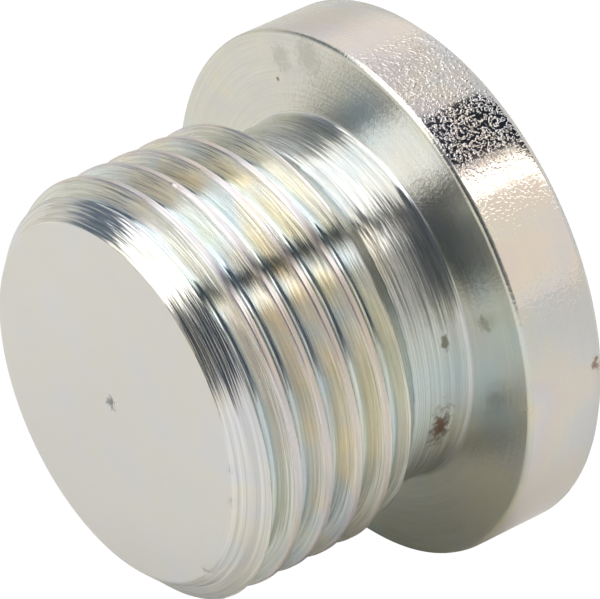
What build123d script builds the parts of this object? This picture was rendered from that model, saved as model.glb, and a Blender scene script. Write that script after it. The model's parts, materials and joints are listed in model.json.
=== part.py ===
from build123d import *
import math
import os

# Hexagon socket screw plug with collar. Millimetres. The outer face of the collar
# lies on z = 0 around the origin, and the threaded end points along +Z.

# Collar
collar_d = 23.0
collar_height = 4.0
collar_front_break = 0.2    # edge of the sealing face
collar_rear_break = 0.4     # edge of the outer face

# Shank, from the sealing face to the end face
shank_length = 12.0
end_chamfer = 1.235         # 45 degrees, taken off the crest radius

# Metric fine thread, right hand, 60 degree flanks
thread_nominal_d = 18.0
pitch = 1.5
crest_shy = 0.1             # the turned crest stays this much under the nominal diameter
root_factor = 1.22687       # nominal minus root diameter, in pitches
crest_bearing = 270.0       # here a crest lies crest_setback under the end face
crest_setback = 0.75

# Relief groove between the thread and the sealing face
relief_width = 4.05
relief_under_root = 0.23    # the relief is this much deeper than the thread, per side
relief_fillet = 0.25

# Hexagon socket in the collar side
socket_flats = 8.06
socket_depth = 7.5
socket_lead_over = 0.1      # lead-in cone beyond the corners, per side
socket_lead_angle = 120.0
drill_point_angle = 120.0

# Derived sizes
total_length = collar_height + shank_length
collar_r = collar_d / 2
crest_r = (thread_nominal_d - crest_shy) / 2
root_r = (thread_nominal_d - root_factor * pitch) / 2
relief_r = root_r - relief_under_root
relief_depth = crest_r - relief_r
relief_top = collar_height + relief_width
half_angle = math.radians(30)
socket_corner_r = socket_flats / 2 / math.cos(half_angle)


def turned(*outline):
    """A solid turned about Z from the closed outline of points and edges."""
    with BuildPart() as solid:
        with BuildSketch(Plane.XZ):
            with BuildLine():
                for piece in outline:
                    add(piece)
            make_face()
        revolve(axis=Axis.Z)
    return solid.part


def collar():
    """The collar disc with both edges broken."""
    return turned(
        Polyline(
            (0, 0),
            (collar_r - collar_rear_break, 0),
            (collar_r, collar_rear_break),
            (collar_r, collar_height - collar_front_break),
            (collar_r - collar_front_break, collar_height),
            (0, collar_height),
            (0, 0),
        )
    )


def shank_blank():
    """The shank before threading: fillet, relief groove, crest cylinder and chamfer."""
    foot = (relief_r + relief_fillet, collar_height)
    fillet_top = (relief_r, collar_height + relief_fillet)
    inset = relief_fillet * (1 - math.sqrt(0.5))
    return turned(
        Polyline((0, total_length), (0, collar_height), foot),
        ThreePointArc(foot, (relief_r + inset, collar_height + inset), fillet_top),
        Polyline(
            fillet_top,
            (relief_r, relief_top - relief_depth),
            (crest_r, relief_top),
            (crest_r, total_length - end_chamfer),
            (crest_r - end_chamfer, total_length),
            (0, total_length),
        ),
    )


def thread_groove(start, stop):
    """The helical groove, its middle rising from height start to stop."""
    crest_flat = pitch / 8 + crest_shy * math.tan(half_angle)
    half_open = (pitch - crest_flat) / 2
    # The flanks would meet at apex_r; the root is an arc tangent to both
    apex_r = crest_r - half_open / math.tan(half_angle)
    root_round = root_r - apex_r
    touch_r = root_r + root_round * (1 - math.sin(half_angle))
    touch_z = root_round * math.cos(half_angle)
    # The tool reaches past the crests, yet not into the next turn
    mouth_z = (half_open + pitch / 2) / 2
    mouth_r = apex_r + mouth_z / math.tan(half_angle)
    with BuildSketch(Plane.XZ) as section:
        with BuildLine():
            Polyline(
                (touch_r, -touch_z), (mouth_r, -mouth_z), (mouth_r, mouth_z), (touch_r, touch_z)
            )
            ThreePointArc((touch_r, touch_z), (root_r, 0), (touch_r, -touch_z))
        make_face()
    path = Helix(pitch=pitch, height=stop - start, radius=root_r)
    groove = sweep(section.sketch, path=path, is_frenet=True)
    # A groove runs half a pitch under each crest
    below = total_length - crest_setback - pitch / 2 - start
    return Pos(0, 0, start) * Rot(0, 0, crest_bearing - 360 * below / pitch) * groove


def threaded_shank():
    """The shank with its thread, which runs out into the relief groove."""
    # The groove is cut in a longer bar, so that it starts and ends inside the bar
    bar_base = relief_top - relief_depth - 4 * pitch
    bar = Cylinder(
        crest_r, total_length + 3 * pitch - bar_base, align=(Align.CENTER, Align.CENTER, Align.MIN)
    )
    groove = thread_groove(bar_base + 2 * pitch, total_length + pitch)
    return shank_blank() & (Pos(0, 0, bar_base) * bar - groove)


def hexagon_socket():
    """The wrench socket: hexagon, drill point and lead-in cone."""
    lead_r = socket_corner_r + socket_lead_over
    lead_depth = lead_r / math.tan(math.radians(socket_lead_angle / 2))
    point_r = socket_flats / 2
    point_depth = point_r / math.tan(math.radians(drill_point_angle / 2))
    hexagon = extrude(RegularPolygon(socket_flats / 2, 6, major_radius=False), socket_depth)
    point = Pos(0, 0, socket_depth + point_depth / 2) * Cone(point_r, 0, point_depth)
    lead = Pos(0, 0, lead_depth / 2) * Cone(lead_r, 0, lead_depth)
    return hexagon + point + lead


plug = collar() + threaded_shank() - hexagon_socket()

os.makedirs("parts", exist_ok=True)
export_step(plug, "parts/socket_plug.step")
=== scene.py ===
import json
import math

import bpy
import numpy as np
from mathutils import Matrix, Vector


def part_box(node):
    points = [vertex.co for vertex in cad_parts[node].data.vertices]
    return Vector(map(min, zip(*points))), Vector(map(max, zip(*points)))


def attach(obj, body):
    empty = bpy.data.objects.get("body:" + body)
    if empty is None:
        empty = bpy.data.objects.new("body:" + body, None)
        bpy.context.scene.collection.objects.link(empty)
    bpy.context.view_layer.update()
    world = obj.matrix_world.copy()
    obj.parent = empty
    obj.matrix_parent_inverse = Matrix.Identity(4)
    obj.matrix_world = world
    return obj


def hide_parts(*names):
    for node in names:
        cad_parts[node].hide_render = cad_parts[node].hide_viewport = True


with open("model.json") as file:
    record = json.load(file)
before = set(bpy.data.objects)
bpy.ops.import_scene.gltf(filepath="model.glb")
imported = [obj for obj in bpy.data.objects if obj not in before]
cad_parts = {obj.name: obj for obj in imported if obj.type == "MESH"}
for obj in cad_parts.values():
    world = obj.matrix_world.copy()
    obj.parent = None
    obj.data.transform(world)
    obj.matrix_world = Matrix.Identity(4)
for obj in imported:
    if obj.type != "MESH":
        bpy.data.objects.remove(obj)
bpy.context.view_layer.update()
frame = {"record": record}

bl_info = {
    "name": "Hex socket plug",
    "version": (1, 0, 0),
    "blender": (4, 5, 0),
    "location": "3D View > Sidebar > Plug",
    "description": "Turns the threaded plug with its plated finish, and sets up its studio",
    "category": "Object",
}

MM = 0.001
BOX_LOW, BOX_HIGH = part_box("socket_plug")
MOUNTS = {mount["name"]: mount for mount in frame["record"]["mounts"]}

# ---------------------------------------------------------------------------
# Sizes of the plug, in millimetres and degrees, as the solid has them
# ---------------------------------------------------------------------------
TOTAL = (BOX_HIGH.z - BOX_LOW.z) / MM
COLLAR_R = MOUNTS["collar_rim"]["dims"]["r_mm"]
COLLAR_TOP = MOUNTS["sealing_face"]["pos_m"][2] / MM
CREST_R = MOUNTS["thread"]["dims"]["r_mm"]
SOCKET_DEPTH = MOUNTS["hexagon_socket"]["dims"]["length_mm"]
FRONT_BREAK = 0.2           # edge of the sealing face
REAR_BREAK = 0.4            # edge of the outer face
END_CHAMFER = 1.235
PITCH = 1.5
FLANK = math.radians(30)
ROOT_R = 8.0797
CREST_FLAT = 0.2452
CREST_BEARING = 270.0       # here a crest lies CREST_SETBACK under the end face
CREST_SETBACK = 0.75
RELIEF_R = ROOT_R - 0.23
RELIEF_TOP = 8.05
FOOT_FILLET = 0.25
FLATS = 8.06
END_EDGE = CREST_R - END_CHAMFER
LEAD_OVER = 0.1             # the lead-in reaches this far past the hexagon's corners
CONE = math.tan(math.radians(60))   # spread of the lead-in and of the drill point

# The groove between two crests: its root is an arc that touches both flanks
HALF_OPEN = (PITCH - CREST_FLAT) / 2
ROOT_ROUND = ROOT_R - (CREST_R - HALF_OPEN / math.tan(FLANK))
ROOT_HALF = ROOT_ROUND * math.cos(FLANK)

# ---------------------------------------------------------------------------
# How finely the form is laid, in millimetres
# ---------------------------------------------------------------------------
COLUMNS = 300               # round the plug
SLIM = 0.03                 # a ring this narrow beside an edge keeps its shading crisp
BLUNT = 0.02                # sharp edges are blunted by this much
CREST_BLEND = 0.05          # width over which the thread rounds into the blank
CLEAR = 0.004               # rows of the thread keep this far from its end rings
SHARP = math.radians(40)    # edges that turn more than this stay crisp
LEAD_R = FLATS / 2 / math.cos(math.radians(30)) + LEAD_OVER
POINT_R = FLATS / 2 - SLIM
THREAD_FOOT = RELIEF_TOP - (CREST_R - RELIEF_R) - CREST_BLEND
THREAD_TOP = TOTAL - BLUNT

# Small damage: bearing, radius, height, size, depth and the way it pushes
MARKS = (
    (227.0, 0.18, TOTAL, 0.28, 0.12, (0.0, 0.0, 1.0)),
    (60.0, 0.16, TOTAL, 0.26, 0.10, (0.0, 0.0, -1.0)),
    (225.0, 7.72, TOTAL - 0.01, 0.32, 0.10, (0.5, 0.5, -0.7)),
    (237.0, 7.73, TOTAL - 0.02, 0.28, 0.09, (0.4, 0.6, -0.7)),
    (188.0, 7.73, TOTAL - 0.02, 0.35, 0.10, (0.7, 0.1, -0.7)),
    (233.0, CREST_R, 15.05, 0.30, 0.10, (0.3, 0.4, 0.5)),
    (208.0, CREST_R, 14.95, 0.30, 0.08, (0.6, 0.3, 0.5)),
    (320.0, CREST_R, 12.60, 0.25, 0.06, (0.7, -0.6, 0.1)),
    (235.0, COLLAR_R, 0.60, 0.35, 0.06, (0.6, 0.8, 0.0)),
    (245.0, RELIEF_R, 5.10, 0.30, 0.05, (0.4, 0.9, 0.0)),
)


# ---------------------------------------------------------------------------
# Shader expressions
# ---------------------------------------------------------------------------
class Value:
    """A number or vector that varies over a surface: an output socket and its tree."""

    def __init__(self, shader, socket):
        self.shader = shader
        self.socket = socket

    def __add__(self, other):
        return self.shader.math("ADD", self, other)

    __radd__ = __add__

    def __sub__(self, other):
        return self.shader.math("SUBTRACT", self, other)

    def __rsub__(self, other):
        return self.shader.math("SUBTRACT", other, self)

    def __mul__(self, other):
        return self.shader.math("MULTIPLY", self, other)

    __rmul__ = __mul__

    def __truediv__(self, other):
        return self.shader.math("DIVIDE", self, other)

    def __rtruediv__(self, other):
        return self.shader.math("DIVIDE", other, self)

    def __neg__(self):
        return self.shader.math("MULTIPLY", self, -1)

    def cos(self):
        return self.shader.math("COSINE", self)

    def sqrt(self):
        return self.shader.math("SQRT", self)

    def clamp(self):
        return self.shader.math("MINIMUM", self.shader.math("MAXIMUM", self, 0), 1)


class Shader:
    """Builds one node tree out of expressions."""

    def __init__(self, tree):
        self.tree = tree
        tree.nodes.clear()

    def add(self, kind, settings=None, sockets=None, output=0):
        """A node of one kind: its settings first, then the values or links of its sockets."""
        node = self.tree.nodes.new(kind)
        for name, setting in (settings or {}).items():
            setattr(node, name, setting)
        for name, value in (sockets or {}).items():
            if isinstance(value, Value):
                self.tree.links.new(value.socket, node.inputs[name])
            else:
                node.inputs[name].default_value = value
        return Value(self, node.outputs[output]) if node.outputs else node

    def math(self, operation, *values):
        return self.add("ShaderNodeMath", {"operation": operation}, dict(enumerate(values)))

    def vector_math(self, operation, *values, output=0):
        return self.add(
            "ShaderNodeVectorMath", {"operation": operation}, dict(enumerate(values)), output
        )

    def dot(self, vector, direction):
        return self.vector_math("DOT_PRODUCT", vector, direction, output="Value")

    def split(self, vector):
        """The x, y and z of a vector."""
        xyz = self.add("ShaderNodeSeparateXYZ", None, {0: vector})
        return [Value(self, socket) for socket in xyz.socket.node.outputs]

    def join(self, x, y, z):
        return self.add("ShaderNodeCombineXYZ", None, {0: x, 1: y, 2: z})

    def join_colour(self, r, g, b):
        return self.add("ShaderNodeCombineColor", None, {0: r, 1: g, 2: b})

    def noise(self, vector, scale, detail, roughness):
        """Cloudy noise from 0 to 1, with 0.5 as its middle."""
        sockets = {"Vector": vector, "Scale": scale, "Detail": detail, "Roughness": roughness}
        return self.add("ShaderNodeTexNoise", {"noise_dimensions": "3D"}, sockets, "Fac")

    def step(self, value, low, high):
        """0 below low and 1 above high, with a smooth change between."""
        settings = {"interpolation_type": "SMOOTHSTEP", "clamp": True}
        ends = {"Value": value, "From Min": low, "From Max": high}
        return self.add("ShaderNodeMapRange", settings, ends)

    def band(self, value, low, high, soft):
        """1 between low and high, with soft ends."""
        return self.step(value, low - soft, low + soft) * (
            1 - self.step(value, high - soft, high + soft)
        )

    def matt(self, colour):
        """A surface with no shine."""
        sockets = {"Base Color": colour, "Roughness": 1.0, "Specular IOR Level": 0.0}
        return self.add("ShaderNodeBsdfPrincipled", None, sockets)

    def surface(self, shine):
        """Give the material its finished surface."""
        self.add("ShaderNodeOutputMaterial", None, {"Surface": shine})

    def mix(self, factor, first, second, blend="MIX"):
        """The first colour where factor is 0, and the second where it is 1."""
        first, second = (
            colour if isinstance(colour, Value) else (*colour[:3], 1.0)
            for colour in (first, second)
        )
        settings = {"data_type": "RGBA", "blend_type": blend}
        return self.add("ShaderNodeMix", settings, {0: factor, 6: first, 7: second}, 2)


# ---------------------------------------------------------------------------
# The turned form
# ---------------------------------------------------------------------------
def smooth_least(a, b, width):
    """The smaller of two radii, with the corner between them rounded."""
    near = np.maximum(width - np.abs(a - b), 0) / width
    return np.minimum(a, b) - near * near * width / 4


def blank_radius(z):
    """Radius of the shank before threading, above the foot fillet."""
    rising = RELIEF_R + z - (RELIEF_TOP - (CREST_R - RELIEF_R))
    falling = CREST_R - (z - (TOTAL - END_CHAMFER))
    return np.minimum(np.minimum(np.maximum(rising, RELIEF_R), CREST_R), falling)


def crest_height(bearing):
    """Height of the topmost crest's middle at a bearing."""
    return TOTAL - CREST_SETBACK + PITCH * (bearing - CREST_BEARING) / 360


def thread_radius(z, bearing):
    """Radius of the 60 degree thread, as if its flanks ran on past the crests."""
    from_crest = np.abs((z - crest_height(bearing) + PITCH / 2) % PITCH - PITCH / 2)
    flank = CREST_R - (from_crest - CREST_FLAT / 2) / math.tan(FLANK)
    from_root = PITCH / 2 - from_crest
    in_arc = np.minimum(from_root, ROOT_HALF)
    root = ROOT_R + ROOT_ROUND - np.sqrt(ROOT_ROUND**2 - in_arc**2)
    return np.where(from_root < ROOT_HALF, root, flank)


def shank_radius(z, bearing):
    """Radius of the threaded shank: the thread where it is lower than the blank."""
    return smooth_least(thread_radius(z, bearing), blank_radius(z), CREST_BLEND)


def spread(start, stop, count):
    """Heights or radii from start to stop, without the last."""
    return [start + (stop - start) * i / count for i in range(count)]


def end_rows():
    """Rings over the end face, from its middle out to the chamfer."""
    near_pip = [0.05, 0.1, 0.15, 0.2, 0.25, 0.3, 0.36, 0.45, 0.7]
    outer = [1.3, 2.3, 3.4, 4.5, 5.5, 6.4, 7.0, 7.3, 7.5, 7.62, END_EDGE - SLIM]
    return [("end_face", r, TOTAL) for r in near_pip + outer]


def collar_rows():
    """Rings down the relief groove, over the collar and in to the socket's mouth."""
    fillet_top, fillet_foot = COLLAR_TOP + FOOT_FILLET, RELIEF_R + FOOT_FILLET
    front_edge, rear_edge = COLLAR_R - FRONT_BREAK, COLLAR_R - REAR_BREAK
    rows = [("relief", RELIEF_R, z) for z in spread(THREAD_FOOT, fillet_top, count=20)]
    for a in spread(0, math.pi / 2, count=6):
        r = fillet_foot - FOOT_FILLET * math.cos(a)
        rows.append(("relief", r, fillet_top - FOOT_FILLET * math.sin(a)))
    for r in [*spread(fillet_foot, front_edge, count=6), front_edge - SLIM]:
        rows.append(("sealing_face", r, COLLAR_TOP))
    for turn in (0, 30, 60, 90):
        a = math.radians(turn)
        drop, lean = FRONT_BREAK * (1 - math.cos(a)), FRONT_BREAK * (1 - math.sin(a))
        rows.append(("sealing_face", COLLAR_R - lean, COLLAR_TOP - drop))
    rim_top, rim_foot = COLLAR_TOP - FRONT_BREAK - 0.05, REAR_BREAK + SLIM
    for z in [*spread(rim_top, rim_foot, count=8), rim_foot]:
        rows.append(("rim", COLLAR_R, z))
    rows.append(("rim", COLLAR_R - BLUNT, REAR_BREAK - BLUNT))
    rows.append(("rim", rear_edge + BLUNT, BLUNT))
    rows.append(("head_face", rear_edge - SLIM, 0))
    outermost, mouth = COLLAR_R - 0.6, LEAD_R + BLUNT
    for r in [*spread(outermost, mouth, count=6), mouth]:
        rows.append(("head_face", r, 0))
    rows.append(("socket", LEAD_R, BLUNT / CONE))
    return rows


def socket_rows(bearing):
    """Rings down the hexagon socket to the drill point; radii and heights vary with bearing."""
    wall = FLATS / 2 / np.cos(np.radians(bearing % 60 - 30))
    lead_foot = (LEAD_R - wall) / CONE + 0.01
    below_lead = 1.2
    rows = [("socket", wall, lead_foot)]
    for z in [*spread(below_lead, SOCKET_DEPTH, count=3), SOCKET_DEPTH]:
        rows.append(("socket", wall, z))
    for r in (POINT_R, 3.0, 2.0, 1.0, 0.3):
        rows.append(("socket", r, SOCKET_DEPTH + (POINT_R - r) / CONE))
    return rows


def helix_offsets():
    """Where rows lie over one pitch, measured from a crest's middle up to the next crest."""
    corner, touch, middle = CREST_FLAT / 2, PITCH / 2 - ROOT_HALF, PITCH / 2
    crest = [0, 0.05, corner - SLIM, corner]
    flank = spread(corner + SLIM, touch, count=9)
    side = crest + flank + spread(touch, middle, count=5) + [middle]
    return side + [PITCH - u for u in reversed(side[1:-1])]


def helix_rows():
    """Heights at bearing 0 of all rows that follow the thread, from low to high."""
    # More turns than the thread has: the columns keep only what lies between the rings
    crests = [crest_height(0) + turn * PITCH for turn in range(-8, 3)]
    return np.array([crest + offset for crest in crests for offset in helix_offsets()])


class Body:
    """Collects the points, faces and finishes of the closed form."""

    def __init__(self):
        self.points, self.normals, self.faces, self.places = [], [], [], []

    def point(self, x, y, z, normal=(0, 0, 0)):
        self.points.append((x, y, z))
        self.normals.append(tuple(normal))
        return len(self.points) - 1

    def face(self, finish, *corners):
        self.faces.append(corners)
        self.places.append(FINISHES.index(finish))

    def ring(self, bearing, radius, height):
        """Points all round the axis; the radius and the height may vary with the bearing."""
        radius = np.broadcast_to(radius, bearing.shape)
        height = np.broadcast_to(height, bearing.shape)
        return [
            self.point(r * math.cos(a), r * math.sin(a), z)
            for r, a, z in zip(radius, np.radians(bearing), height)
        ]

    def band(self, finish, upper, lower):
        """Faces between two rings, the first one nearer the end face."""
        for j in range(len(upper)):
            k = (j + 1) % len(upper)
            self.face(finish, upper[j], lower[j], lower[k], upper[k])

    def fan(self, finish, middle, ring, outward=True):
        """Faces from a ring to its middle point."""
        for j in range(len(ring)):
            k = (j + 1) % len(ring)
            corners = (middle, ring[j], ring[k])
            self.face(finish, *(corners if outward else corners[::-1]))


def thread_normals(z, bearing):
    """Outward directions of the threaded shank, from its own slope."""
    dz, turn = 0.002, 0.05
    up = (shank_radius(z + dz, bearing) - shank_radius(z - dz, bearing)) / (2 * dz)
    ahead = shank_radius(z, bearing + turn) - shank_radius(z, bearing - turn)
    around = ahead / (2 * math.radians(turn)) / shank_radius(z, bearing)
    a = np.radians(bearing)
    n = np.stack([np.cos(a) + around * np.sin(a), np.sin(a) - around * np.cos(a), -up], axis=1)
    return n / np.linalg.norm(n, axis=1, keepdims=True)


def thread_column(body, rows, bearing):
    """Points of one column as (key, point): points with one key lie on one helical row."""
    z = rows + PITCH * bearing / 360
    z = z[(z > THREAD_FOOT + CLEAR) & (z < THREAD_TOP - CLEAR)]
    at = np.full(z.shape, float(bearing))
    x, y = math.cos(math.radians(bearing)), math.sin(math.radians(bearing))
    return [
        (h - PITCH * bearing / 360, body.point(r * x, r * y, h, n))
        for h, r, n in zip(z, shank_radius(z, at), thread_normals(z, at))
    ]


def lay_thread(body, bearing, top_ring, foot_ring):
    """The threaded zone between two rings. Its rows follow the helix, so crests stay crisp."""
    rows = helix_rows()
    columns = [thread_column(body, rows, b) for b in bearing]
    for j in range(len(bearing)):
        k = (j + 1) % len(bearing)
        # Past the last column, every row has climbed one pitch
        lap = PITCH if k == 0 else 0
        left = [(0, foot_ring[j])] + columns[j] + [(0, top_ring[j])]
        right = [(0, foot_ring[k])] + [(key - lap, p) for key, p in columns[k]] + [(0, top_ring[k])]
        zip_columns(body, left, right)


def zip_columns(body, left, right):
    """Faces between two columns of keyed points, whose first and last points are the rings'."""
    i = j = 0
    while i < len(left) - 1 or j < len(right) - 1:
        ends = (i + 1 >= len(left) - 1, j + 1 >= len(right) - 1)
        if ends == (True, True) and i < len(left) - 1 and j < len(right) - 1:
            step = (1, 1)
        elif ends[0] or ends[1]:
            step = (0, 1) if ends[0] else (1, 0)
        else:
            gap = left[i + 1][0] - right[j + 1][0]
            step = (1, 1) if abs(gap) < 1e-6 else (1, 0) if gap < 0 else (0, 1)
        corners = [left[i][1], right[j][1]]
        if step[1]:
            corners.append(right[j + 1][1])
        if step[0]:
            corners.append(left[i + 1][1])
        height = body.points[corners[-1]][2]
        body.face("end_chamfer" if height > TOTAL - END_CHAMFER else "thread", *corners)
        i, j = i + step[0], j + step[1]


def mark(body, bearing, radius, height, size, depth, towards):
    """A nick or nib: points near a place move by depth along a direction."""
    a = math.radians(bearing)
    centre = np.array([radius * math.cos(a), radius * math.sin(a), height])
    points = np.array(body.points)
    away = np.linalg.norm(points - centre, axis=1) / size
    for n in np.nonzero(away < 1)[0]:
        push = depth * (1 - away[n] ** 2) ** 2
        body.points[n] = tuple(points[n] + push * np.array(towards))
        body.normals[n] = (0, 0, 0)


FINISHES = (
    "end_face", "end_chamfer", "thread", "relief", "sealing_face", "rim", "head_face", "socket"
)


def plug_mesh(name):
    """One closed mesh of the plug, with a material place for each finish."""
    body = Body()
    bearing = np.arange(COLUMNS) * 360.0 / COLUMNS
    end = [(finish, body.ring(bearing, r, z)) for finish, r, z in end_rows()]
    body.fan("end_face", body.point(0, 0, TOTAL), end[0][1])
    for (_, inner), (finish, outer) in zip(end, end[1:]):
        body.band(finish, inner, outer)
    top = body.ring(bearing, shank_radius(np.full(COLUMNS, THREAD_TOP), bearing), THREAD_TOP)
    body.band("end_chamfer", end[-1][1], top)
    rest = [(f, body.ring(bearing, r, z)) for f, r, z in collar_rows() + socket_rows(bearing)]
    lay_thread(body, bearing, top, rest[0][1])
    for (_, upper), (finish, lower) in zip(rest, rest[1:]):
        body.band(finish, upper, lower)
    point_z = SOCKET_DEPTH + POINT_R / CONE
    body.fan("socket", body.point(0, 0, point_z), rest[-1][1], outward=False)
    for place in MARKS:
        mark(body, *place)

    mesh = bpy.data.meshes.new(name)
    mesh.from_pydata([tuple(c * MM for c in p) for p in body.points], [], body.faces)
    mesh.polygons.foreach_set("material_index", body.places)
    mesh.polygons.foreach_set("use_smooth", [True] * len(body.faces))
    mesh.update()
    mesh.set_sharp_from_angle(angle=SHARP)
    mesh.normals_split_custom_set_from_vertices(body.normals)
    return mesh


# ---------------------------------------------------------------------------
# The plated finish
# ---------------------------------------------------------------------------
class Finish:
    """How one turned area looks.

    tints   two colours that cloud into each other
    rough   roughness
    lines   depth of the turning marks
    pits    grain all over
    etched_and_shaded  more grain, and a painted dark reflection, in the etched patch
    streak  how far reflections stretch across the turning marks
    sway    how far the turning marks lean to and fro
    film    strength of the thin colour film
    stains  small spots: stains, and painted shade in dents and nicks
    stains  small spots
    washes  wide soft tints
    """

    def __init__(self, tints, rough, lines, pits=0.0, etched_and_shaded=0.0, streak=0.6,
                 sway=1.0, film=1.0, crests=False, stains=(), washes=()):
        self.tints = tints
        self.rough = rough
        self.lines = lines
        self.pits = pits
        self.etched_and_shaded = etched_and_shaded
        self.streak = streak
        self.sway = sway
        self.film = film
        self.crests = crests
        self.stains = stains
        self.washes = washes


# Colours of the plating and of what lies on it
PLATE = (0.80, 0.785, 0.735)
COOL = (0.74, 0.775, 0.75)
WARM = (0.81, 0.77, 0.66)
PINK = (0.82, 0.765, 0.745)
STRAW = (0.87, 0.84, 0.68)
PALE = (0.80, 0.78, 0.765)
# Painted shade: the dark grey laid into dents and nicks
DENT_SHADE = (0.30, 0.32, 0.34)
TEAL = (0.66, 0.765, 0.79)
ROOT_SHADE = (0.68, 0.735, 0.725)
RUST = (0.28, 0.17, 0.12)
OLIVE = (0.30, 0.29, 0.22)

# Stains, and painted shade in dents and nicks: bearing, radius, height, size, colour and strength
SHANK_STAINS = (
    (216.0, RELIEF_R, 5.5, 1.6, OLIVE, 0.6),
    (216.0, RELIEF_R, 5.5, 1.0, RUST, 0.9),
    (245.0, RELIEF_R, 5.1, 0.5, OLIVE, 0.85),
)
FACE_STAINS = (
    (332.0, 10.6, COLLAR_TOP, 1.1, OLIVE, 0.25),
    (343.0, 10.3, COLLAR_TOP, 0.8, OLIVE, 0.25),
    (249.0, 9.2, COLLAR_TOP, 0.5, OLIVE, 0.5),
    (347.0, 9.4, COLLAR_TOP, 0.14, RUST, 0.8),
)
# Painted shade: the pip's shadow in the dent beside it, and shade in the nicks of the end face's
# edge
END_DENT_SHADE = (
    (60.0, 0.16, TOTAL, 0.42, DENT_SHADE, 0.9),
    (225.0, 7.7, TOTAL, 0.3, DENT_SHADE, 0.6),
    (237.0, 7.7, TOTAL, 0.25, DENT_SHADE, 0.6),
    (188.0, 7.7, TOTAL, 0.3, DENT_SHADE, 0.5),
)
# Rust, and painted shade in the nick on the first crest at bearing 208
THREAD_STAINS_AND_SHADE = (
    (233.0, CREST_R, 15.05, 0.4, RUST, 0.9),
    (208.0, CREST_R, 14.95, 0.4, DENT_SHADE, 0.7),
    (249.0, 8.6, 13.1, 0.3, RUST, 0.5),
    (248.0, 8.6, 10.1, 0.3, RUST, 0.5),
)
RIM_STAINS = ((235.0, COLLAR_R, 0.6, 0.5, RUST, 0.8),)

# Washes: wide soft tints, given like stains
FACE_WASHES = (
    (228.0, 9.2, COLLAR_TOP, 3.4, TEAL, 0.8),
    (312.0, 9.0, COLLAR_TOP, 2.6, TEAL, 0.7),
    (199.0, 10.3, COLLAR_TOP, 4.2, STRAW, 0.9),
)
SHANK_WASHES = ((233.0, RELIEF_R, 6.5, 4.4, TEAL, 0.6),)

# The etched patch of the rim, which also carries a painted dark reflection: the direction of its
# middle, and how near to that direction, as a cosine, it starts and is full
ETCHED_AND_SHADED = (math.cos(math.radians(299)), math.sin(math.radians(299)))
ETCHED_AND_SHADED_EDGE = (0.935, 0.97)

# Turning marks: lines per millimetre, their drift along their length, how far they lean at
# most, the painted light and shade they lay on the plating, and the share of fine and coarse ones
FINE_LINES = 8.5
COARSE_LINES = 2.5
LEANING_LINES = 11.0
LINE_DRIFT = 30.0
LINE_LEAN = 0.3
LINE_PAINTED_SHADE = 0.9
FINE_SHARE, COARSE_SHARE = 0.6, 0.4

# Clouds over the plating, per metre, and where they change from one tint to the other
CLOUDS = 190.0
HAZE = 900.0
GRIT = 4000.0
GRAIN = 6800.0
CLOUD_EDGE = (0.38, 0.62)
GRAIN_EDGE = (0.48, 0.64)
# Painted reflection: how much darker the etched patch is
PAINTED_PATCH_SHADE = 0.1

# The thread, from 0 at its root to 1 on its crests: painted shade that greys the roots, and worn
# crests
ROOT_EDGE = (0.05, 0.35)
CREST_EDGE = (0.8, 0.97)
WORN_EDGE = (0.85, 0.97)

# What clouds, haze, worn crests, stains and painted dent shade add to the roughness
ROUGH_BY_CLOUD = 0.1
ROUGH_BY_HAZE = 0.08
ROUGH_BY_WEAR = 0.14
ROUGH_BY_STAIN_AND_SHADE = 0.3

# Outlines of washes, stains and painted dent shade: where they fade, as a share of their size, how
# ragged they are, and how much narrower stains and dent shade are along the plug than round it
WASH_EDGE = (0.2, 1.0)
WASH_RAGGED = 1.2
STAIN_AND_SHADE_EDGE = (0.3, 1.0)
STAIN_AND_SHADE_RAGGED = 2.2
STAIN_AND_SHADE_NARROW = 2.2

# The thin colour film: how fast it turns with cloud, haze and height, its level, and the
# depth and phase of its red, green and blue
FILM_BY_CLOUD = 6.0
FILM_BY_HAZE = 0.4
FILM_BY_HEIGHT = 300.0
FILM_LEVEL = 0.97
FILM_WAVES = ((0.03, 0.0), (0.015, 0.9), (0.045, 2.9))

FINISH_OF = {
    "end_face": Finish((PALE, PLATE), rough=0.24, lines=0.06, pits=0.06, streak=0.0, film=0.35,
                       stains=END_DENT_SHADE),
    "end_chamfer": Finish((PALE, PLATE), rough=0.2, lines=1.0, streak=0.9),
    "thread": Finish((WARM, COOL), rough=0.15, lines=0.85, streak=0.95, sway=0.3, film=1.2,
                     crests=True, stains=THREAD_STAINS_AND_SHADE),
    "relief": Finish((COOL, PLATE), rough=0.22, lines=1.2, streak=1.0, stains=SHANK_STAINS,
                     washes=SHANK_WASHES),
    "sealing_face": Finish((COOL, WARM), rough=0.24, lines=0.3, pits=0.15, streak=0.8, film=1.3,
                           stains=FACE_STAINS, washes=FACE_WASHES),
    "rim": Finish((PALE, PINK), rough=0.1, lines=0.05, pits=0.2, etched_and_shaded=0.8, streak=0.0,
                  stains=RIM_STAINS),
    "head_face": Finish((PLATE, WARM), rough=0.25, lines=0.6),
    "socket": Finish((PLATE, COOL), rough=0.25, lines=0.2, streak=0.0),
}


def spot(bearing, radius, height):
    """A place on the plug, in metres."""
    a = math.radians(bearing)
    return (radius * math.cos(a) * MM, radius * math.sin(a) * MM, height * MM)


def new_material(name):
    """An empty material and its shader."""
    material = bpy.data.materials.new(name)
    material.use_nodes = True
    return material, Shader(material.node_tree)


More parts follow.
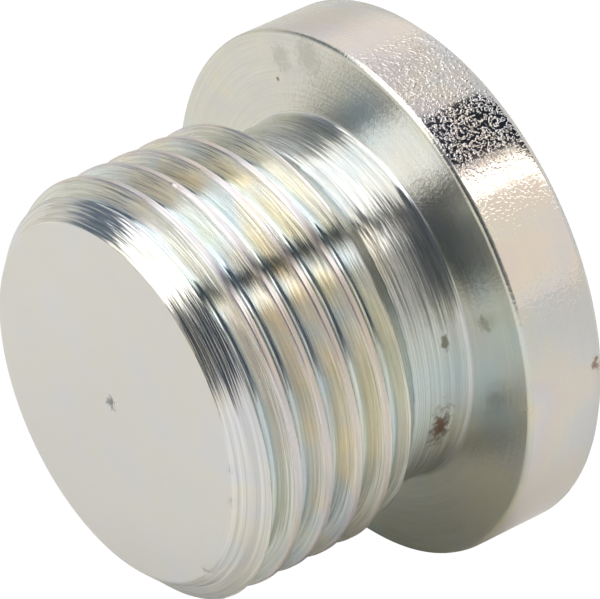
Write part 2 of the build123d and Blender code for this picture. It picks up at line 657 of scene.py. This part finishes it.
def plated(name, finish, look):
    """Bright plating over turned steel."""
    material, s = new_material(name)
    place = s.add("ShaderNodeTexCoord", None, None, "Object")
    x, y, z = s.split(place)
    r = (x * x + y * y).sqrt()
    # Turning marks: rings that change slowly along their length
    rings = s.join(z * (1 / MM), r * (1 / MM), (x + y) * LINE_DRIFT)
    fine = s.noise(rings, FINE_LINES, 2.0, 0.6)
    coarse = s.noise(rings, COARSE_LINES, 2.0, 0.5)
    cloud = s.noise(place, CLOUDS, 3.0, 0.55)
    haze = s.noise(place, HAZE, 3.0, 0.6)
    grit = s.noise(place, GRIT, 3.0, 0.7)
    lines = fine * FINE_SHARE + coarse * COARSE_SHARE
    bump = {"Height": lines, "Distance": look.line_depth * finish.lines, "Strength": 1.0}
    normal = s.add("ShaderNodeBump", None, bump, "Normal")
    # The tool leaves every line leaning a little differently along its length
    leaning = s.noise(rings, LEANING_LINES, 1.0, 0.5)
    sway = (leaning - 0.5) * (LINE_LEAN * finish.lines * finish.sway) / r
    normal = s.vector_math("ADD", normal, s.join(-(y * sway), x * sway, 0.0))
    normal = s.vector_math("NORMALIZE", normal)
    if finish.pits:
        # The grain is deepest in one etched patch of the rim, which a painted dark reflection also
        # darkens
        etched_shaded_patch = s.step((x * ETCHED_AND_SHADED[0] + y * ETCHED_AND_SHADED[1]) / r, *ETCHED_AND_SHADED_EDGE) * finish.etched_and_shaded
        grain = s.step(s.noise(place, GRAIN, 1.0, 0.5), *GRAIN_EDGE) * (finish.pits + etched_shaded_patch)
        bump = {"Height": grain, "Distance": look.pit_depth, "Normal": normal}
        normal = s.add("ShaderNodeBump", None, bump, "Normal")
    tint = s.mix(s.step(cloud, *CLOUD_EDGE), *finish.tints)
    if finish.crests:
        # 0 at the thread's root and 1 on its crests
        rise = (r * (1 / MM) - ROOT_R) / (CREST_R - ROOT_R)
        # Painted shade: the thread's roots are greyer and darker
        tint = s.mix(1 - s.step(rise, *ROOT_EDGE), tint, ROOT_SHADE)
        tint = s.mix(s.step(rise, *CREST_EDGE), tint, PINK)
    film = cloud * FILM_BY_CLOUD + haze * FILM_BY_HAZE + z * FILM_BY_HEIGHT
    sheen = s.join_colour(
        *[FILM_LEVEL + depth * finish.film * (film * math.pi + phase).cos()
          for depth, phase in FILM_WAVES]
    )
    tint = s.mix(1.0, tint, sheen, "MULTIPLY")
    # Painted light and shade: the turning marks are lighter on their ridges and darker in their
    # grooves
    painted_shade = 1 + (fine - 0.5) * (LINE_PAINTED_SHADE * finish.lines)
    if finish.pits:
        # Painted reflection: the etched patch is darker, as if it mirrored a dark gap
        painted_shade = painted_shade - etched_shaded_patch * PAINTED_PATCH_SHADE
    tint = s.mix(1.0, tint, s.join_colour(painted_shade, painted_shade, painted_shade), "MULTIPLY")
    tint = s.mix(1.0, tint, look.tone, "MULTIPLY")
    roughness = finish.rough + (cloud - 0.5) * ROUGH_BY_CLOUD + (haze - 0.5) * ROUGH_BY_HAZE
    if finish.crests:
        roughness = roughness + s.step(rise, *WORN_EDGE) * ROUGH_BY_WEAR
    for bearing, radius, height, size, colour, strength in finish.washes:
        away = s.vector_math("DISTANCE", place, spot(bearing, radius, height), output="Value")
        near = 1 - s.step(away / (size * MM) + (cloud - 0.5) * WASH_RAGGED, *WASH_EDGE)
        tint = s.mix(near * strength, tint, colour)
    # Stains, and painted shade in dents and nicks
    for bearing, radius, height, size, colour, strength in finish.stains:
        off = s.vector_math("SUBTRACT", place, spot(bearing, radius, height))
        wide = s.vector_math("MULTIPLY", off, (1, 1, STAIN_AND_SHADE_NARROW))
        away = s.vector_math("LENGTH", wide, output="Value") / (size * MM)
        near = 1 - s.step(away + (grit - 0.5) * STAIN_AND_SHADE_RAGGED, *STAIN_AND_SHADE_EDGE)
        near = near * (strength * look.stains)
        tint = s.mix(near, tint, colour)
        roughness = roughness + near * ROUGH_BY_STAIN_AND_SHADE
    sockets = {
        "Base Color": tint,
        "Roughness": roughness.clamp(),
        "Metallic": 1.0,
        "Normal": normal,
        "Anisotropic": finish.streak,
        "Anisotropic Rotation": 0.25,
    }
    s.surface(s.add("ShaderNodeBsdfPrincipled", None, sockets))
    return material


# ---------------------------------------------------------------------------
# Sizes and colours of the studio
# ---------------------------------------------------------------------------
# The light falls as on a plug that lies on its side: which way is up, and which is far
UP_BEARING = math.radians(326)
TABLE_UP = (math.cos(UP_BEARING), math.sin(UP_BEARING), 0.0)
TABLE_SIDE = (-math.sin(UP_BEARING), math.cos(UP_BEARING), 0.0)

# What the metal mirrors: the parts of the room
PLAIN = (0.75, 0.74, 0.72)  # the ceiling, and below the table
END_WALL = (0.8, 0.76, 0.66)
DARK_GAP = (0.028, 0.046, 0.07)
GAP_GLOW = (0.3, 0.3, 0.31)
CREAM_WALL = (0.86, 0.80, 0.71)
WINDOW = (2.6, 2.5, 2.36)
NEAR_FLOOR = (0.7, 0.66, 0.6)
PALE_WALL = (0.9, 0.88, 0.85)
NAVY_WALL = (0.11, 0.15, 0.19)
FAR_END = (0.7, 0.7, 0.65)
FAR_FLOOR = (0.66, 0.66, 0.62)

# Where they change, in degrees round the axis: -90 is near, 0 overhead and 90 far
NEAR_FLOOR_EDGE = (-96, -80)
WINDOW_SIDES = (-37, -28)
NEAR_GAP_EDGE = (-25, -23)
SOFTBOX_SIDES = (-17, 34)
CEILING_EDGE = (0, 4)
FAR_WALL_EDGE = (34, 37)
FAR_FLOOR_EDGE = (56, 80)
ROOM_SKEW = 9.0             # degrees that these edges shift from the middle to either end

# Where they change along the axis, as a cosine: 0 is level, 1 straight ahead of the end face
CREAM_WALL_EDGE = (-0.28, -0.02)
PALE_WALL_EDGE = (-0.1, 0.2)
GLOW_ENDS = (0.17, 0.33)
FAR_END_EDGE = (0.62, 0.72)
SOFTBOX_ENDS = (-0.44, 0.93)
SOFTBOX_MIDDLE = (0.12, 0.34)
SOFTBOX_DIM = 0.42          # brightness of its middle, as a share of the rest
END_WALL_EDGE = (0.93, 0.99)

# How softly they change: along the axis, and in degrees at the softbox and the window
SOFT = 0.04
SOFTBOX_SOFT = 1.0
WINDOW_SOFT = 2.5
HORIZON = (-0.02, 0.02)

# The floor and the table, in millimetres, and the painted shade that darkens the table's white
# towards and beyond the head
FLOOR_HALF = 6000.0
FLOOR_GAP = 0.02
FLOOR_GLOW = 1.02
TABLE_HALF = 2500.0
TABLE_GAP = 0.03
TABLE_SHADED = (0.78, 0.78, 0.73)
TABLE_SHADE_EDGE = (-0.03, 0.02)

# The dark card: degrees round the axis, distance from it, sides, foot and top edge
CARD_LEAN = -15.0
CARD_AWAY = 30.0
CARD_SIDES = (-9.8, 1.6)
CARD_ENDS = (-47.0, -7.0)
CARD_BLACK = (0.02, 0.03, 0.05, 1)

# How the camera is turned
CAMERA_RIGHT = (-0.4200395, -0.455651, -0.78482417)
CAMERA_UP = (0.90750582, -0.21089828, -0.36325624)
SENSOR = 36.0


# ---------------------------------------------------------------------------
# Settings
# ---------------------------------------------------------------------------
class PlugLook(bpy.types.PropertyGroup):
    """Colours and finish of the plug."""

    tone: bpy.props.FloatVectorProperty(
        name="Tone",
        description="Colour that tints all of the plating; white leaves it as it is",
        subtype="COLOR",
        default=(1.0, 1.0, 1.0),
        min=0,
        max=1,
    )
    # Scales the stains and the painted shade in dents and nicks alike
    stains: bpy.props.FloatProperty(
        name="Stains", description="Strength of the small stains", default=1.0, min=0, max=1
    )
    line_depth: bpy.props.FloatProperty(
        name="Turning marks",
        description="Depth of the lines left by the turning tool",
        subtype="DISTANCE",
        unit="LENGTH",
        precision=6,
        default=0.000045,
        min=0,
    )
    pit_depth: bpy.props.FloatProperty(
        name="Pits",
        description="Height of the grain on the etched patch",
        subtype="DISTANCE",
        unit="LENGTH",
        precision=6,
        default=0.000016,
        min=0,
    )


class StudioLook(bpy.types.PropertyGroup):
    """Floor, light and camera."""

    floor: bpy.props.FloatVectorProperty(
        name="Floor",
        description="Colour of the floor",
        subtype="COLOR",
        default=(1, 1, 1),
        min=0,
        max=1,
    )
    paper: bpy.props.FloatVectorProperty(
        name="Table",
        description="Colour of the table that the plug mirrors",
        subtype="COLOR",
        default=(0.93, 0.93, 0.91),
        min=0,
        max=1,
    )
    softbox: bpy.props.FloatProperty(
        name="Softbox", description="Brightness of the softbox overhead", default=1.9, min=0
    )
    camera_place: bpy.props.FloatVectorProperty(
        name="Camera",
        description="Where the camera stands",
        subtype="TRANSLATION",
        unit="LENGTH",
        precision=5,
        default=(0.00065121, -0.20420455, 0.12474740),
    )
    focal_length: bpy.props.FloatProperty(
        name="Focal length",
        description="Lens of the camera",
        unit="CAMERA",
        default=348.666,
        min=1,
    )


# ---------------------------------------------------------------------------
# Operators
# ---------------------------------------------------------------------------
def square(half):
    """Corners of a square round the middle."""
    return (-half, -half), (half, -half), (half, half), (-half, half)


def flat_piece(context, name, material_name, corners):
    """A flat piece of the stage, from corners in millimetres, and its material's shader."""
    mesh = bpy.data.meshes.new(name)
    mesh.from_pydata([tuple(corner * MM) for corner in corners], [], [(0, 1, 2, 3)])
    material, shader = new_material(material_name)
    mesh.materials.append(material)
    piece = bpy.data.objects.new(name, mesh)
    context.scene.collection.objects.link(piece)
    return piece, shader


class OBJECT_OT_turn_plug(bpy.types.Operator):
    """Turn the plug, cut its thread and plate it"""

    bl_idname = "object.turn_plug"
    bl_label = "Turn the plug"

    def execute(self, context):
        look = context.scene.plug_look
        piece = bpy.data.objects.new("hex_plug", plug_mesh("hex_plug"))
        context.scene.collection.objects.link(piece)
        for finish in FINISHES:
            name = "plated " + finish.replace("_", " ")
            piece.data.materials.append(plated(name, FINISH_OF[finish], look))
        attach(piece, "root")
        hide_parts("socket_plug")
        return {"FINISHED"}


class OBJECT_OT_set_studio(bpy.types.Operator):
    """Lay the floor, light the studio and place the camera"""

    bl_idname = "object.set_studio"
    bl_label = "Set the studio"

    def execute(self, context):
        look = context.scene.studio_look
        scene = context.scene
        scene.view_settings.view_transform = "Standard"
        self.lay_floor(context, look)
        self.light(context, look)
        self.lay_table(context, look)
        self.hang_card(context)
        self.place_camera(context, look)
        return {"FINISHED"}

    def lay_floor(self, context, look):
        """The pale floor. It glows evenly, and only the camera sees it."""
        corners = [Vector((x, y, -FLOOR_GAP)) for x, y in square(FLOOR_HALF)]
        floor, s = flat_piece(context, "floor", "pale floor", corners)
        glow = {"Color": (*look.floor, 1), "Strength": FLOOR_GLOW}
        s.surface(s.add("ShaderNodeEmission", None, glow))
        floor.visible_glossy = False
        floor.visible_diffuse = False
        floor.visible_shadow = False

    def light(self, context, look):
        """The room over the work table: a long softbox overhead, pale walls and dark gaps."""
        world = bpy.data.worlds.new("studio light")
        context.scene.world = world
        world.use_nodes = True
        s = Shader(world.node_tree)
        way = s.add("ShaderNodeTexCoord", None, None, "Generated")
        over = s.dot(way, TABLE_UP)
        side = s.dot(way, TABLE_SIDE)
        along = s.dot(way, (0.0, 0.0, 1.0))
        turn = s.math("ARCTAN2", side, over) * (180 / math.pi) - along * ROOM_SKEW

        # The near side: a dark gap, with a cream wall and a bright window behind the collar
        behind = 1 - s.step(along, *CREAM_WALL_EDGE)
        window = behind * s.band(turn, *WINDOW_SIDES, WINDOW_SOFT)
        # The gap's faint glow is what the end face mirrors from behind
        near = s.mix(s.band(along, *GLOW_ENDS, SOFT), DARK_GAP, GAP_GLOW)
        near = s.mix(behind, near, CREAM_WALL)
        near = s.mix(window, near, WINDOW)
        near = s.mix(1 - s.step(turn, *NEAR_FLOOR_EDGE), near, NEAR_FLOOR)

        # The far side: a pale wall behind the collar, and a navy one ahead of it
        far = s.mix(s.step(along, *PALE_WALL_EDGE), PALE_WALL, NAVY_WALL)
        far = s.mix(s.step(along, *FAR_END_EDGE), far, FAR_END)
        far = s.mix(s.step(turn, *FAR_FLOOR_EDGE), far, FAR_FLOOR)

        room = s.mix(s.step(turn, *NEAR_GAP_EDGE), near, DARK_GAP)
        room = s.mix(s.step(turn, *CEILING_EDGE), room, PLAIN)
        room = s.mix(s.step(turn, *FAR_WALL_EDGE), room, far)

        # The softbox is dimmer in its middle, where the end face mirrors it from behind
        bright = (look.softbox,) * 3
        dim = (look.softbox * SOFTBOX_DIM,) * 3
        softbox = s.mix(s.band(along, *SOFTBOX_MIDDLE, SOFT), bright, dim)
        overhead = s.band(turn, *SOFTBOX_SIDES, SOFTBOX_SOFT)
        overhead = overhead * s.band(along, *SOFTBOX_ENDS, SOFT)
        room = s.mix(overhead, room, softbox)
        room = s.mix(s.step(along, *END_WALL_EDGE), room, END_WALL)
        sky = s.mix(s.step(over, *HORIZON), PLAIN, room)
        back = s.add("ShaderNodeBackground", None, {"Color": sky, "Strength": 1.0})
        s.add("ShaderNodeOutputWorld", None, {"Surface": back})

    def lay_table(self, context, look):
        """The white table that the plug's side mirrors, with painted shade that darkens it towards
        and beyond the head. Only reflections show it.
        """
        up, side, ahead = Vector(TABLE_UP), Vector(TABLE_SIDE), Vector((0, 0, 1))
        foot = up * -(COLLAR_R + TABLE_GAP)
        corners = [foot + side * a + ahead * b for a, b in square(TABLE_HALF)]
        table, s = flat_piece(context, "table", "white table", corners)
        height = s.split(s.add("ShaderNodeTexCoord", None, None, "Object"))[2]
        # Painted shade: the table's white darkens along the axis towards and beyond the head
        s.surface(s.matt(s.mix(s.step(height, *TABLE_SHADE_EDGE), TABLE_SHADED, look.paper)))
        table.visible_camera = False

    def hang_card(self, context):
        """A dark card behind the collar. Only the rim's reflections show it."""
        up, side, ahead = Vector(TABLE_UP), Vector(TABLE_SIDE), Vector((0, 0, 1))
        lean = math.radians(CARD_LEAN)
        out = up * math.cos(lean) + side * math.sin(lean)
        across = side * math.cos(lean) - up * math.sin(lean)
        (left, right), (foot, top) = CARD_SIDES, CARD_ENDS
        corners = [
            out * CARD_AWAY + across * a + ahead * b
            for a, b in ((left, foot), (right, foot), (right, top), (left, top))
        ]
        card, s = flat_piece(context, "card", "dark card", corners)
        s.surface(s.matt(CARD_BLACK))
        card.visible_camera = False
        card.visible_diffuse = False
        card.visible_shadow = False

    def place_camera(self, context, look):
        """The camera, turned so that the plug seems to lie on its side."""
        data = bpy.data.cameras.new("camera")
        data.sensor_width = SENSOR
        data.lens = look.focal_length
        data.clip_start = 0.01
        camera = bpy.data.objects.new("camera", data)
        context.scene.collection.objects.link(camera)
        right, up = Vector(CAMERA_RIGHT), Vector(CAMERA_UP)
        turn = Matrix((right, up, right.cross(up))).transposed().to_4x4()
        camera.matrix_world = Matrix.Translation(Vector(look.camera_place)) @ turn
        context.scene.camera = camera


class VIEW3D_PT_plug(bpy.types.Panel):
    """Settings and steps of the plug"""

    bl_label = "Hex socket plug"
    bl_space_type = "VIEW_3D"
    bl_region_type = "UI"
    bl_category = "Plug"

    def draw(self, context):
        scene = context.scene
        for look, names in (
            (scene.plug_look, ("tone", "stains", "line_depth", "pit_depth")),
            (scene.studio_look, ("floor", "paper", "softbox", "camera_place", "focal_length")),
        ):
            for name in names:
                self.layout.prop(look, name)
        for operator in (OBJECT_OT_turn_plug, OBJECT_OT_set_studio):
            self.layout.operator(operator.bl_idname)


CLASSES = (PlugLook, StudioLook, OBJECT_OT_turn_plug, OBJECT_OT_set_studio, VIEW3D_PT_plug)


def register():
    for part in CLASSES:
        bpy.utils.register_class(part)
    bpy.types.Scene.plug_look = bpy.props.PointerProperty(type=PlugLook)
    bpy.types.Scene.studio_look = bpy.props.PointerProperty(type=StudioLook)


def unregister():
    del bpy.types.Scene.studio_look
    del bpy.types.Scene.plug_look
    for part in reversed(CLASSES):
        bpy.utils.unregister_class(part)


def main():
    register()
    for step in (bpy.ops.object.turn_plug, bpy.ops.object.set_studio):
        if step() != {"FINISHED"}:
            raise RuntimeError("a step could not finish")


if __name__ == "__main__":
    main()
